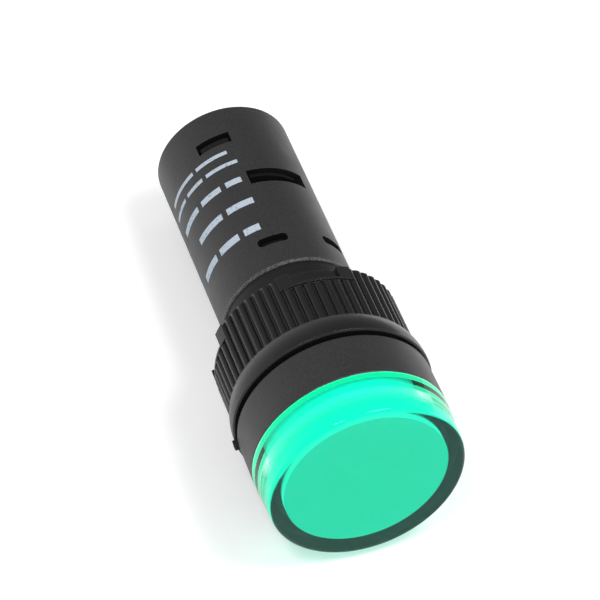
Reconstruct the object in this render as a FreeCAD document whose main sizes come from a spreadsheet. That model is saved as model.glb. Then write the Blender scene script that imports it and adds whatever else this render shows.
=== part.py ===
import FreeCAD, Part
import math
import os

import Sketcher

# A panel pilot light for a 22 mm hole, in millimetres.
# The lens faces -Y and the tube runs to +Y, with +Z up.
# The origin is the centre of the bezel's rear face, which seats on the panel.
# Distances named "at" are measured from that face towards the terminals.

Vector = FreeCAD.Vector
LENGTHWISE = Vector(0, 1, 0)

SIZES = [
    ("fit", 0.1, "clearance of moulded parts that fit in each other"),
    ("overlap", 0.4, "depth to which an added form sinks in, or a cut runs on"),
    ("barrel_radius", 10.35, "threaded barrel at the thread root, and rear shell"),
    ("barrel_length", 20.1, "threaded barrel, seat face to rear shell"),
    ("barrel_wall", 1.05, "threaded barrel, wall"),
    ("barrel_relief_length", 0.9, "barrel, groove behind the thread"),
    ("barrel_relief_depth", 0.3, "barrel, depth of that groove"),
    ("bore_cone_lead", 1.0, "barrel, start of the bore's cone, before the rear shell"),
    ("bore_cone_tail", 0.5, "barrel, end of the bore's cone, inside the rear shell"),
    ("spigot_length", 6.6, "spigot behind the barrel"),
    ("spigot_wall", 1.05, "spigot, wall"),
    ("nut_bore_clearance", 0.65, "nut, thread root to the barrel's thread root"),
    ("nut_sleeve_wall", 1.2, "nut, wall of the threaded sleeve"),
    ("nut_core_width", 0.9, "nut, ring slot between sleeve and skirt"),
    ("nut_core_depth", 9.0, "nut, depth of the ring slot from the rear"),
    ("nut_skirt_wall", 0.6, "nut, skirt wall between the ribs"),
    ("nut_length", 15.0, "nut, along its sleeve"),
    ("nut_skirt_inset", 1.1, "nut, how far the sleeve stands out behind the skirt"),
    ("nut_flange_step", 1.2, "nut, flange out from the skirt"),
    ("nut_flange_length", 3.9, "nut, flange"),
    ("nut_flange_rise", 0.5, "nut, rear edge of the flange out from the skirt"),
    ("nut_flange_crown", 7.5, "nut, radius of the flange's rounded side"),
    ("nut_flange_edge", 0.2, "nut, bevel at the flange's front"),
    ("nut_bore_edge", 0.5, "nut, bevel at both ends of the thread"),
    ("nut_rim_edge", 0.15, "nut, bevel of the skirt's rear edge"),
    ("rib_count", 60, "nut, grip ribs"),
    ("rib_half_width", 0.6, "nut, half of a rib"),
    ("rib_side", 0.05, "nut, straight side of a rib"),
    ("rib_round", 0.62, "nut, rounding of a rib"),
    ("rib_end_bevel", 0.55, "nut, slope at a rib's rear end"),
    ("rib_end_gap", 0.1, "nut, rib to the rear end of the skirt"),
    ("notch_count", 4, "nut, notches in the skirt's rear edge"),
    ("notch_angle", 7.0, "nut, clock angle of the first notch"),
    ("notch_span", 30.0, "nut, notch, degrees round the skirt"),
    ("notch_depth", 2.25, "nut, notch, along the axis"),
    ("notch_lip", 0.35, "nut, smooth lip in front of a notch"),
    ("notch_post", 8.0, "nut, smooth post beside a notch, degrees"),
    ("post_proud", 0.4, "nut, lip and posts out from the skirt"),
    ("bezel_inset", 0.3, "bezel, inside the nut's flange all round"),
    ("bezel_taper", 0.1, "bezel, wider at the front than at the seat"),
    ("bezel_height", 7.6, "bezel, seat face to front face"),
    ("bezel_edge_round", 0.35, "bezel, rounding of both outer edges"),
    ("cup_floor_thickness", 1.5, "bezel, seat face to the floor of its cup"),
    ("gasket_thickness", 0.7, "gasket between bezel and nut"),
    ("gasket_inset", 1.3, "gasket, inside the bezel all round"),
    ("gasket_bore_clearance", 0.15, "gasket, clear of the barrel all round"),
    ("gasket_tab_width", 1.6, "gasket, moulding tab"),
    ("gasket_tab_reach", 0.8, "gasket, how far the tab stands out from the bezel"),
    ("gasket_tab_angle", -100.0, "gasket, clock angle of the tab"),
    ("lens_taper", 0.35, "lens, narrower at the front than at the bezel"),
    ("lens_height", 7.05, "lens, bezel to front face"),
    ("lens_wall", 2.65, "lens, side wall where it meets the bezel"),
    ("lens_front_wall", 1.65, "lens, thickness of the front"),
    ("lens_edge_round", 0.6, "lens, rounding of the front edge"),
    ("lens_skirt_wall", 0.85, "lens, wall of the skirt that enters the bezel"),
    ("lens_skirt_depth", 1.9, "lens, length of that skirt"),
    ("snap_bead", 0.2, "lens, height of the snap bead on the skirt"),
    ("snap_bead_half", 0.3, "lens, half the width of that bead"),
    ("diffuser_wall", 0.8, "diffuser cup, wall"),
    ("diffuser_edge_round", 0.5, "diffuser cup, rounding of the front edge"),
    ("shell_wall", 1.1, "rear shell, wall"),
    ("shell_length", 34.4, "rear shell"),
    ("shell_front_edge", 0.2, "rear shell, bevel of the front end"),
    ("shell_end_round", 0.6, "rear shell, rounding of the rear end"),
    ("clocking", 24.0, "clock angle of the large latch window"),
    ("slot_lead", 4.4, "spigot latch slots, behind the barrel"),
    ("slot_length", 1.6, "spigot latch slots, along the axis"),
    ("slot_span", 25.5, "spigot latch slots, degrees"),
    ("slot_apart", 29.0, "spigot latch slots, from the large window, degrees"),
    ("slot_round", 0.65, "spigot latch slots, corner rounding"),
    ("slot_hook_length", 0.7, "spigot hooks, along the axis"),
    ("slot_hook_reach", 0.45, "spigot hooks, height"),
    ("block_sink", 0.7, "terminal block, below the end of the shell"),
    ("block_length", 14.4, "terminal block, without the barrier's end"),
    ("large_window_lead", 2.2, "large latch windows, front edge before the block"),
    ("large_window_length", 2.9, "large latch windows, along the axis"),
    ("large_window_span", 52.5, "large latch windows, degrees"),
    ("large_hook_length", 0.6, "hooks in the large windows, along the axis"),
    ("large_hook_reach", 0.35, "hooks in the large windows, height"),
    ("tail_window_inset", 6.9, "tail latch windows, front edge from the block's end"),
    ("tail_window_length", 2.1, "tail latch windows, along the axis"),
    ("tail_window_span", 30.0, "tail latch windows, degrees"),
    ("tail_window_apart", 41.0, "tail latch windows, from the large window, degrees"),
    ("tail_hook_length", 1.05, "hooks in the tail windows, along the axis"),
    ("tail_hook_reach", 1.05, "hooks in the tail windows, height"),
    ("hook_side_gap", 5.0, "degrees between a hook and its window's two ends"),
    ("barrier", 1.6, "terminal block, wall between the two pockets"),
    ("barrier_inset", 0.65, "terminal block, barrier's ends inside the shell"),
    ("pocket_side_wall", 1.95, "terminal pocket, to the block's side"),
    ("pocket_corner_wall", 0.27, "terminal pocket, corners to the block's side"),
    ("pocket_depth", 8.6, "terminal pocket"),
    ("pocket_round", 1.5, "terminal pocket, corner rounding"),
    ("strip_thickness", 0.8, "terminal strip"),
    ("strip_play", 0.15, "terminal strip, clear of the pocket's sides and the board"),
    ("strip_end_gap", 1.2, "terminal strip, to the pocket's ends"),
    ("leg_width", 2.8, "terminal strip, leg that reaches the board"),
    ("leg_reach", 4.4, "terminal strip, leg in front of the block"),
    ("washer_gap", 0.4, "clamp washer, to the pocket's sides"),
    ("washer_thickness", 0.8, "clamp washer"),
    ("washer_play", 0.15, "clamp washer, hole to screw all round"),
    ("screw_radius", 1.45, "terminal screw, shank"),
    ("screw_play", 0.05, "terminal screw, in the strip all round"),
    ("screw_length", 5.2, "terminal screw, under the head"),
    ("screw_tip", 0.4, "terminal screw, bevel of the tip"),
    ("screw_head_inset", 0.1, "terminal screw, head inside the washer's sides"),
    ("screw_head_height", 2.0, "terminal screw, head"),
    ("screw_head_round", 0.6, "terminal screw, rounding of the head"),
    ("driver_slot_width", 0.8, "terminal screw, width of the cross"),
    ("driver_slot_inset", 0.5, "terminal screw, cross to the head's side"),
    ("driver_slot_depth", 1.1, "terminal screw, depth of the cross"),
    ("tail_hole_play", 0.25, "terminal block, hole round the screw's tail"),
    ("tail_hole_depth", 4.2, "terminal block, depth of that hole"),
    ("board_thickness", 1.2, "dropper board"),
    ("board_at", 1.0, "dropper board, front edge"),
    ("board_grip", 1.4, "dropper board, depth in the terminal block"),
    ("led_board_thickness", 1.0, "LED board"),
    ("led_count", 6, "LEDs on the LED board"),
    ("led_ring_radius", 6.6, "LEDs, ring radius"),
    ("led_length", 3.5, "LED, along the ring"),
    ("led_width", 2.8, "LED, across the ring"),
    ("led_height", 1.9, "LED, off the board"),
    ("pin_side", 0.64, "link pins, square"),
    ("pin_pitch", 2.54, "link pins, apart"),
    ("pin_overlap", 4.0, "link pins, length on the dropper board"),
    ("pin_proud", 0.8, "link pins, in front of the LED board"),
    ("pin_hole_radius", 0.5, "LED board, holes for the link pins"),
    ("film_width", 9.0, "film capacitor, across the board"),
    ("film_length", 13.0, "film capacitor, along the board"),
    ("film_round", 0.5, "film capacitor, edge rounding"),
    ("can_radius", 3.1, "smoothing capacitor"),
    ("can_length", 9.0, "smoothing capacitor"),
    ("can_edge", 0.3, "smoothing capacitor, bevel of both ends and depth of the crimp"),
    ("can_crimp_at", 1.5, "smoothing capacitor, crimp, from the front end"),
    ("can_crimp_half", 0.6, "smoothing capacitor, half the width of the crimp"),
    ("resistor_radius", 1.15, "resistors, body"),
    ("resistor_length", 6.4, "resistors, body"),
    ("diode_count", 4, "diodes under the board"),
    ("diode_radius", 1.3, "diodes, body"),
    ("diode_length", 4.6, "diodes, body"),
    ("diode_pitch", 3.0, "diodes, apart"),
    ("lead_radius", 0.3, "leads of the resistors and diodes"),
    ("lead_reach", 1.2, "leads, out of the body before they turn down"),
]


class Size:
    """A number and the expression that keeps it bound to the sheet."""

    def __init__(self, number, text):
        self.number = number
        self.text = text

    def __add__(self, other):
        other = as_size(other)
        return Size(self.number + other.number, "(%s + %s)" % (self.text, other.text))

    def __sub__(self, other):
        other = as_size(other)
        return Size(self.number - other.number, "(%s - %s)" % (self.text, other.text))

    def __mul__(self, other):
        other = as_size(other)
        return Size(self.number * other.number, "(%s * %s)" % (self.text, other.text))

    def __truediv__(self, other):
        other = as_size(other)
        return Size(self.number / other.number, "(%s / %s)" % (self.text, other.text))

    def __neg__(self):
        return Size(-self.number, "(0 - %s)" % self.text)


def as_size(given):
    return given if isinstance(given, Size) else Size(given, repr(given))


def cosine(angle):
    return Size(math.cos(math.radians(angle.number)), "cos(%s)" % angle.text)


def sine(angle):
    return Size(math.sin(math.radians(angle.number)), "sin(%s)" % angle.text)


def other_side(long_side, side):
    """Length of a right-angled triangle's other side."""
    square = long_side * long_side - side * side
    return Size(math.sqrt(square.number), "sqrt(%s)" % square.text)


def fill_sheet():
    """Write the sizes to the sheet and return them by name."""
    named = {}
    for row, (alias, number, meaning) in enumerate(SIZES, start=1):
        sheet.set("A%d" % row, meaning)
        sheet.set("B%d" % row, str(number))
        sheet.setAlias("B%d" % row, alias)
        named[alias] = Size(number, "Sizes." + alias)
    doc.recompute()
    return named


doc = FreeCAD.newDocument("panel_pilot_light")
sheet = doc.addObject("Spreadsheet::Sheet", "Sizes")
size = fill_sheet()
ZERO = Size(0.0, "0")
PAIR = Size(2, "2")
CROSS = Size(4, "4")
NEAR = 0.001
nodes = {}


def bind(target, path, length):
    target.setExpression(path, length.text)


def new_body(label):
    """Start a part made of features, and list it as a node."""
    body = doc.addObject("PartDesign::Body", label)
    body.Label = label
    nodes[label] = body
    return body


def origin_feature(body, role):
    return next(item for item in body.Origin.OriginFeatures if item.Role == role)


def new_sketch(body, name, role, lift=ZERO, turn=ZERO):
    """Sketch on an origin plane, lifted along its normal and turned about its first axis."""
    sketch = body.newObject("Sketcher::SketchObject", name)
    sketch.AttachmentSupport = [(origin_feature(body, role), "")]
    sketch.MapMode = "FlatFace"
    rotation = FreeCAD.Rotation(Vector(1, 0, 0), turn.number)
    sketch.AttachmentOffset = FreeCAD.Placement(Vector(0, 0, lift.number), rotation)
    bind(sketch, "AttachmentOffset.Base.z", lift)
    bind(sketch, "AttachmentOffset.Rotation.Angle", turn)
    return sketch


def place_vertex(sketch, edge, vertex, across, up):
    """Hold one vertex at its distances from the sketch's origin."""
    for kind, distance, axis in (("DistanceX", across, -2), ("DistanceY", up, -1)):
        if distance.text == "0":
            sketch.addConstraint(Sketcher.Constraint("PointOnObject", edge, vertex, axis))
            continue
        constraint = Sketcher.Constraint(kind, -1, 1, edge, vertex, distance.number)
        index = sketch.addConstraint(constraint)
        bind(sketch, "Constraints[%d]" % index, distance)


def arc_between(start, end, radius):
    """Short arc that runs anticlockwise from start to end."""
    middle = (start + end) / 2
    chord = end - start
    inward = Vector(-chord.y, chord.x, 0).normalize()
    centre = middle + inward * math.sqrt(radius ** 2 - (chord.Length / 2) ** 2)
    angles = [math.atan2(point.y - centre.y, point.x - centre.x) for point in (start, end)]
    return Part.ArcOfCircle(Part.Circle(centre, Vector(0, 0, 1), radius), *angles)


def draw_outline(sketch, corners):
    """Closed outline. A corner with a third value starts an arc of that radius.

    The outline runs anticlockwise, and an arc bulges outwards.
    """
    first = sketch.GeometryCount
    points = [Vector(corner[0].number, corner[1].number, 0) for corner in corners]
    for index, corner in enumerate(corners):
        start = points[index]
        end = points[(index + 1) % len(points)]
        if len(corner) == 3:
            edge = sketch.addGeometry(arc_between(start, end, corner[2].number), False)
            radius = Sketcher.Constraint("Radius", edge, corner[2].number)
            bind(sketch, "Constraints[%d]" % sketch.addConstraint(radius), corner[2])
        else:
            sketch.addGeometry(Part.LineSegment(start, end), False)
    for index, corner in enumerate(corners):
        edge = first + index
        following = first + (index + 1) % len(corners)
        sketch.addConstraint(Sketcher.Constraint("Coincident", edge, 2, following, 1))
        place_vertex(sketch, edge, 1, corner[0], corner[1])


def draw_circle(sketch, radius, across=ZERO, up=ZERO):
    centre = Vector(across.number, up.number, 0)
    edge = sketch.addGeometry(Part.Circle(centre, Vector(0, 0, 1), radius.number), False)
    constraint = Sketcher.Constraint("Radius", edge, radius.number)
    bind(sketch, "Constraints[%d]" % sketch.addConstraint(constraint), radius)
    place_vertex(sketch, edge, 3, across, up)


def box_corners(left, right, bottom, top):
    return [(left, bottom), (right, bottom), (right, top), (left, top)]


def rounded_box(left, right, bottom, top, radius):
    """Corners of a box whose four corners are arcs."""
    return [
        (left + radius, bottom),
        (right - radius, bottom, radius),
        (right, bottom + radius),
        (right, top - radius, radius),
        (right - radius, top),
        (left + radius, top, radius),
        (left, top - radius),
        (left, bottom + radius, radius),
    ]


def check_growth(feature, body, before, cut):
    """Stop when a feature failed, or removed nothing or added nothing."""
    doc.recompute()
    change = feature.Shape.Volume - before
    if "Invalid" in feature.State or (change >= 0 if cut else change <= 0):
        raise RuntimeError("%s in %s changed nothing" % (feature.Name, body.Label))


def volume_of(body):
    return body.Tip.Shape.Volume if body.Tip else 0.0


def leave_seams(feature):
    """Leave faces that meet flush unjoined, which keeps the build quick."""
    feature.Refine = False


def turned(body, name, corners, cut=False, span=None, angle=ZERO):
    """Revolve an outline of (place along the axis, radius) about the part's axis.

    A span in degrees makes a sector, centred on a clock angle from +Z towards +X.
    """
    before = volume_of(body)
    sketch = new_sketch(body, name + "_outline", "YZ_Plane", turn=angle)
    draw_outline(sketch, corners)
    kind = "PartDesign::Groove" if cut else "PartDesign::Revolution"
    feature = body.newObject(kind, name)
    feature.Profile = sketch
    leave_seams(feature)
    feature.ReferenceAxis = (sketch, ["H_Axis"])
    feature.Angle = 360.0
    if span is not None:
        feature.Midplane = True
        bind(feature, "Angle", span)
    check_growth(feature, body, before, cut)
    return feature


def extruded(body, name, draw, start, length, cut=False):
    """Extrude a sketch across the axis, from start towards the terminals."""
    before = volume_of(body)
    sketch = new_sketch(body, name + "_outline", "XZ_Plane", lift=-start)
    draw(sketch)
    feature = body.newObject("PartDesign::Pocket" if cut else "PartDesign::Pad", name)
    feature.Profile = sketch
    leave_seams(feature)
    feature.Type = "Length"
    feature.Reversed = not cut
    bind(feature, "Length", length)
    check_growth(feature, body, before, cut)
    return feature


def repeated(body, name, originals, count, cut=False):
    """Repeat features evenly round the part's axis."""
    before = volume_of(body)
    pattern = body.newObject("PartDesign::PolarPattern", name)
    pattern.Originals = originals
    leave_seams(pattern)
    pattern.Axis = (origin_feature(body, "Y_Axis"), [""])
    pattern.Angle = 360.0
    bind(pattern, "Occurrences", count)
    body.Tip = pattern
    check_growth(pattern, body, before, cut)
    return pattern


def rounded(body, name, radius, chosen):
    """Fillet the edges of the body's last shape that the chooser accepts."""
    base = body.Tip
    names = [
        "Edge%d" % number
        for number, edge in enumerate(base.Shape.Edges, start=1)
        if chosen(edge)
    ]
    feature = body.newObject("PartDesign::Fillet", name)
    feature.Base = (base, names)
    bind(feature, "Radius", radius)
    doc.recompute()
    if "Invalid" in feature.State or not names:
        raise RuntimeError("%s in %s failed" % (name, body.Label))
    return feature


def ring_edge(radius, at):
    """Chooser of circular edges round the axis, by radius and place along it."""
    def chosen(edge):
        if not isinstance(edge.Curve, Part.Circle):
            return False
        same_radius = abs(edge.Curve.Radius - radius.number) < NEAR
        return same_radius and abs(edge.Curve.Center.y - at.number) < NEAR
    return chosen


# Radii that several parts share, from the barrel outwards and from the barrel inwards.
nut_bore = size["barrel_radius"] + size["nut_bore_clearance"]
nut_sleeve = nut_bore + size["nut_sleeve_wall"]
nut_skirt_bore = nut_sleeve + size["nut_core_width"]
nut_skirt = nut_skirt_bore + size["nut_skirt_wall"]
nut_flange = nut_skirt + size["nut_flange_step"]
seat_radius = nut_flange - size["bezel_inset"]
bezel_radius = seat_radius + size["bezel_taper"]
lens_front_radius = bezel_radius - size["lens_taper"]
cup_radius = bezel_radius - size["lens_wall"]
lens_skirt_radius = cup_radius + size["lens_skirt_wall"]
diffuser_radius = cup_radius - size["fit"]
barrel_bore = size["barrel_radius"] - size["barrel_wall"]
shell_bore = size["barrel_radius"] - size["shell_wall"]
inner_radius = shell_bore - size["fit"]
spigot_bore = inner_radius - size["spigot_wall"]

# Places along the axis that several parts share.
bezel_front = -size["bezel_height"]
lens_front = bezel_front - size["lens_height"]
diffuser_front = lens_front + size["lens_front_wall"] + size["fit"]
bead_at = bezel_front + size["lens_skirt_depth"] / 2
cup_floor = -size["cup_floor_thickness"]
led_board_front = cup_floor - size["led_board_thickness"]
nut_front = size["gasket_thickness"]
nut_end = nut_front + size["nut_length"]
skirt_end = nut_end - size["nut_skirt_inset"]
slot_at = size["barrel_length"] + size["slot_lead"]
shell_end = size["barrel_length"] + size["shell_length"]
block_end = shell_end - size["block_sink"]
block_at = block_end - size["block_length"]
large_window_at = block_at - size["large_window_lead"]
tail_window_at = block_end - size["tail_window_inset"]
tail_window_angle = size["clocking"] - size["tail_window_apart"]
pocket_floor = block_end - size["pocket_depth"]
strip_face = pocket_floor + size["strip_thickness"]
washer_face = strip_face + size["washer_thickness"]
board_end = block_at + size["board_grip"]

# Places across the axis, for the terminal on the right-hand side.
pocket_inner = size["barrier"] / 2
pocket_outer = inner_radius - size["pocket_side_wall"]
pocket_half = other_side(inner_radius - size["pocket_corner_wall"], pocket_outer)
screw_across = (pocket_inner + pocket_outer) / 2
washer_half = (pocket_outer - pocket_inner) / 2 - size["washer_gap"]
screw_head_radius = washer_half - size["screw_head_inset"]
leg_outer = pocket_outer - size["strip_play"]
leg_inner = leg_outer - size["strip_thickness"]
board_half = leg_inner - size["strip_play"]
board_top = size["board_thickness"] / 2

# What stands on the board is spread evenly between the link pins and the terminal block.
pins_end = size["board_at"] + size["pin_overlap"]
parts_length = size["resistor_radius"] * 4 + size["can_length"] + size["film_length"]
board_gap = (block_at - pins_end - parts_length) / 5
surge_resistor_at = pins_end + board_gap + size["resistor_radius"]
can_at = surge_resistor_at + size["resistor_radius"] + board_gap
bleed_resistor_at = can_at + size["can_length"] + board_gap + size["resistor_radius"]
film_at = bleed_resistor_at + size["resistor_radius"] + board_gap


def hook_sector(body, name, start, length, reach, span, angle):
    """Latch hook on the outside of a sleeve, with an opposite twin."""
    corners = box_corners(start, start + length, inner_radius - size["overlap"], inner_radius + reach)
    hook = turned(body, name, corners, span=span - size["hook_side_gap"], angle=angle)
    repeated(body, name + "_pair", [hook], PAIR)


def window_sector(body, name, start, length, span, angle):
    """Window through the rear shell, with an opposite twin."""
    corners = box_corners(start, start + length, shell_bore - size["overlap"],
                          size["barrel_radius"] + size["overlap"])
    window = turned(body, name, corners, cut=True, span=span, angle=angle)
    repeated(body, name + "_pair", [window], PAIR, cut=True)


def make_lens():
    """Clear coloured cap with a thick side wall and a skirt that snaps into the bezel."""
    inner_front = lens_front + size["lens_front_wall"]
    skirt_back = bezel_front + size["lens_skirt_depth"]
    body = new_body("lens")
    turned(body, "cap", [
        (lens_front, ZERO),
        (inner_front, ZERO),
        (inner_front, cup_radius),
        (skirt_back, cup_radius),
        (skirt_back, lens_skirt_radius),
        (bead_at + size["snap_bead_half"], lens_skirt_radius),
        (bead_at, lens_skirt_radius + size["snap_bead"]),
        (bead_at - size["snap_bead_half"], lens_skirt_radius),
        (bezel_front, lens_skirt_radius),
        (bezel_front, bezel_radius),
        (lens_front, lens_front_radius),
    ])
    rounded(body, "front_edge", size["lens_edge_round"], ring_edge(lens_front_radius, lens_front))


def make_diffuser():
    """Milky cup between the LEDs and the lens."""
    inner = diffuser_radius - size["diffuser_wall"]
    body = new_body("diffuser")
    turned(body, "cup", [
        (diffuser_front, ZERO),
        (diffuser_front + size["diffuser_wall"], ZERO),
        (diffuser_front + size["diffuser_wall"], inner),
        (led_board_front, inner),
        (led_board_front, diffuser_radius),
        (diffuser_front, diffuser_radius),
    ])
    rounded(body, "front_edge", size["diffuser_edge_round"], ring_edge(diffuser_radius, diffuser_front))


def make_led_board():
    """Round board that lies on the floor of the bezel's cup, with two holes for the link pins."""
    pin_across = size["pin_pitch"] / 2
    pin_up = board_top + size["pin_side"] / 2

    def draw(sketch):
        draw_circle(sketch, diffuser_radius)
        draw_circle(sketch, size["pin_hole_radius"], pin_across, pin_up)
        draw_circle(sketch, size["pin_hole_radius"], -pin_across, pin_up)

    body = new_body("led_board")
    extruded(body, "disc", draw, led_board_front, size["led_board_thickness"])


def make_leds():
    """Square LEDs in a ring on the LED board, as one group."""
    group = doc.addObject("Part::Compound", "leds")
    leds = []
    count = int(size["led_count"].number)
    for index in range(count):
        angle = Size(360.0, "360") * (index + 0.5) / size["led_count"]
        led = doc.addObject("Part::Box", "led_%d" % (index + 1))
        bind(led, "Length", size["led_length"])
        bind(led, "Width", size["led_height"])
        bind(led, "Height", size["led_width"])
        low = size["led_ring_radius"] - size["led_width"] / 2
        led.Placement.Rotation = FreeCAD.Rotation(LENGTHWISE, angle.number)
        bind(led, "Placement.Rotation.Angle", angle)
        bind(led, "Placement.Base.x", sine(angle) * low - cosine(angle) * size["led_length"] / 2)
        bind(led, "Placement.Base.y", led_board_front - size["led_height"])
        bind(led, "Placement.Base.z", cosine(angle) * low + sine(angle) * size["led_length"] / 2)
        leds.append(led)
    group.Links = leds
    group.Label = "leds"
    nodes["leds"] = group


def make_front_housing():
    """Bezel cup, threaded barrel and latching spigot, moulded in one."""
    skirt_bore = lens_skirt_radius + size["fit"]
    skirt_floor = bezel_front + size["lens_skirt_depth"] + size["fit"]
    bead_half = size["snap_bead_half"] + size["fit"]
    relief_at = size["barrel_length"] - size["barrel_relief_length"]
    relief_radius = size["barrel_radius"] - size["barrel_relief_depth"]
    cone_at = size["barrel_length"] - size["bore_cone_lead"]
    cone_end = size["barrel_length"] + size["bore_cone_tail"]
    spigot_end = size["barrel_length"] + size["spigot_length"]
    body = new_body("front_housing")
    turned(body, "housing", [
        (bezel_front, skirt_bore),
        (bead_at - bead_half, skirt_bore),
        (bead_at, skirt_bore + size["snap_bead"]),
        (bead_at + bead_half, skirt_bore),
        (skirt_floor, skirt_bore),
        (skirt_floor, cup_radius),
        (cup_floor, cup_radius),
        (cup_floor, barrel_bore),
        (cone_at, barrel_bore),
        (cone_end, spigot_bore),
        (spigot_end, spigot_bore),
        (spigot_end, inner_radius),
        (size["barrel_length"], inner_radius),
        (size["barrel_length"], relief_radius),
        (relief_at, relief_radius),
        (relief_at - size["barrel_relief_depth"], size["barrel_radius"]),
        (ZERO, size["barrel_radius"]),
        (ZERO, seat_radius),
        (bezel_front, bezel_radius),
    ])
    rounded(body, "front_edge", size["bezel_edge_round"], ring_edge(bezel_radius, bezel_front))
    rounded(body, "seat_edge", size["bezel_edge_round"], ring_edge(seat_radius, ZERO))
    for side, name in ((-1, "left_hook"), (1, "right_hook")):
        hook_sector(body, name, slot_at + size["fit"], size["slot_hook_length"], size["slot_hook_reach"],
                    size["slot_span"], size["clocking"] + size["slot_apart"] * side)


def make_gasket():
    """Flat rubber ring with a small moulding tab."""
    bore = size["barrel_radius"] + size["gasket_bore_clearance"]
    radius = seat_radius - size["gasket_inset"]
    body = new_body("gasket")
    turned(body, "ring", box_corners(ZERO, size["gasket_thickness"], bore, radius))
    tab_span = size["gasket_tab_width"] / radius * (180 / math.pi)
    tab = box_corners(ZERO, size["gasket_thickness"], radius - size["overlap"],
                      seat_radius + size["gasket_tab_reach"])
    turned(body, "tab", tab, span=tab_span, angle=size["gasket_tab_angle"])


def make_nut():
    """Ring nut with a smooth flange, and a ribbed skirt with notches round its threaded sleeve."""
    bore_edge = size["nut_bore_edge"]
    flange_edge = size["nut_flange_edge"]
    rim_edge = size["nut_rim_edge"]
    core_floor = nut_end - size["nut_core_depth"]
    flange_end = nut_front + size["nut_flange_length"]
    body = new_body("mounting_nut")
    turned(body, "blank", [
        (nut_front, nut_bore + bore_edge),
        (nut_front + bore_edge, nut_bore),
        (nut_end - bore_edge, nut_bore),
        (nut_end, nut_bore + bore_edge),
        (nut_end, nut_sleeve),
        (core_floor, nut_sleeve),
        (core_floor, nut_skirt_bore),
        (skirt_end, nut_skirt_bore),
        (skirt_end, nut_skirt - rim_edge),
        (skirt_end - rim_edge, nut_skirt),
        (flange_end, nut_skirt),
        (flange_end, nut_skirt + size["nut_flange_rise"], size["nut_flange_crown"]),
        (nut_front + flange_edge, nut_flange),
        (nut_front, nut_flange - flange_edge),
    ])
    half = size["rib_half_width"]
    root = nut_skirt - size["nut_skirt_wall"] / 2
    shoulder = nut_skirt + size["rib_side"]

    def draw_rib(sketch):
        draw_outline(sketch, [
            (-half, root),
            (half, root),
            (half, shoulder, size["rib_round"]),
            (-half, shoulder),
        ])

    rib_start = flange_end - size["overlap"]
    rib_end = skirt_end - size["rib_end_gap"]
    rib = extruded(body, "rib", draw_rib, rib_start, rib_end - rib_start)
    repeated(body, "ribs", [rib], size["rib_count"])
    cut_ribs(body, "rib_ends", rib_end)
    make_nut_notches(body, root)


def cut_ribs(body, name, foot, span=None, angle=ZERO):
    """Take the ribs away behind their foot, with a slope in front of it."""
    floor = nut_skirt + size["rib_side"]
    crest = floor + size["rib_round"]
    slope_start = foot - size["rib_end_bevel"]
    end = skirt_end + size["overlap"]
    return turned(body, name, [
        (slope_start, crest),
        (foot, floor),
        (end, floor),
        (end, nut_flange),
        (slope_start, nut_flange),
    ], cut=True, span=span, angle=angle)


def make_nut_notches(body, root):
    """Notches in the skirt's rear edge, each with a smooth lip and two smooth posts."""
    notch_at = skirt_end - size["notch_depth"]
    patch_at = notch_at - size["notch_lip"]
    patch_span = size["notch_span"] + size["notch_post"] * 2
    angle = size["notch_angle"]
    count = size["notch_count"]
    clearing = cut_ribs(body, "patch_clearing", patch_at, patch_span, angle)
    repeated(body, "patch_clearings", [clearing], count, cut=True)
    corners = box_corners(patch_at, skirt_end, root, nut_skirt + size["post_proud"])
    patch = turned(body, "patch", corners, span=patch_span, angle=angle)
    repeated(body, "patches", [patch], count)
    corners = box_corners(notch_at, skirt_end + size["overlap"], nut_skirt_bore - size["fit"], nut_flange)
    notch = turned(body, "notch", corners, cut=True, span=size["notch_span"], angle=angle)
    repeated(body, "notches", [notch], count, cut=True)


def make_rear_shell():
    """Plain tube behind the barrel, with latch windows in two opposite sets."""
    start = size["barrel_length"]
    radius = size["barrel_radius"]
    body = new_body("rear_shell")
    turned(body, "tube", [
        (start, shell_bore),
        (shell_end, shell_bore),
        (shell_end, radius),
        (start + size["shell_front_edge"], radius),
        (start, radius - size["shell_front_edge"]),
    ])
    rounded(body, "rear_edge", size["shell_end_round"], ring_edge(radius, shell_end))
    for side, name in ((-1, "left_slot"), (1, "right_slot")):
        window_sector(body, name, slot_at, size["slot_length"], size["slot_span"],
                      size["clocking"] + size["slot_apart"] * side)
    rounded(body, "slot_corners", size["slot_round"], corner_edges(slot_at, size["slot_length"]))
    window_sector(body, "large_window", large_window_at, size["large_window_length"],
                  size["large_window_span"], size["clocking"])
    window_sector(body, "tail_window", tail_window_at, size["tail_window_length"],
                  size["tail_window_span"], tail_window_angle)


def corner_edges(start, length):
    """Chooser of the edges that run through the wall at the corners of a window."""
    places = (start.number, (start + length).number)

    def chosen(edge):
        if not isinstance(edge.Curve, Part.Line):
            return False
        across = abs(edge.Curve.Direction.y) < NEAR
        middle = edge.CenterOfMass.y
        return across and any(abs(middle - place) < NEAR for place in places)
    return chosen


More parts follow.
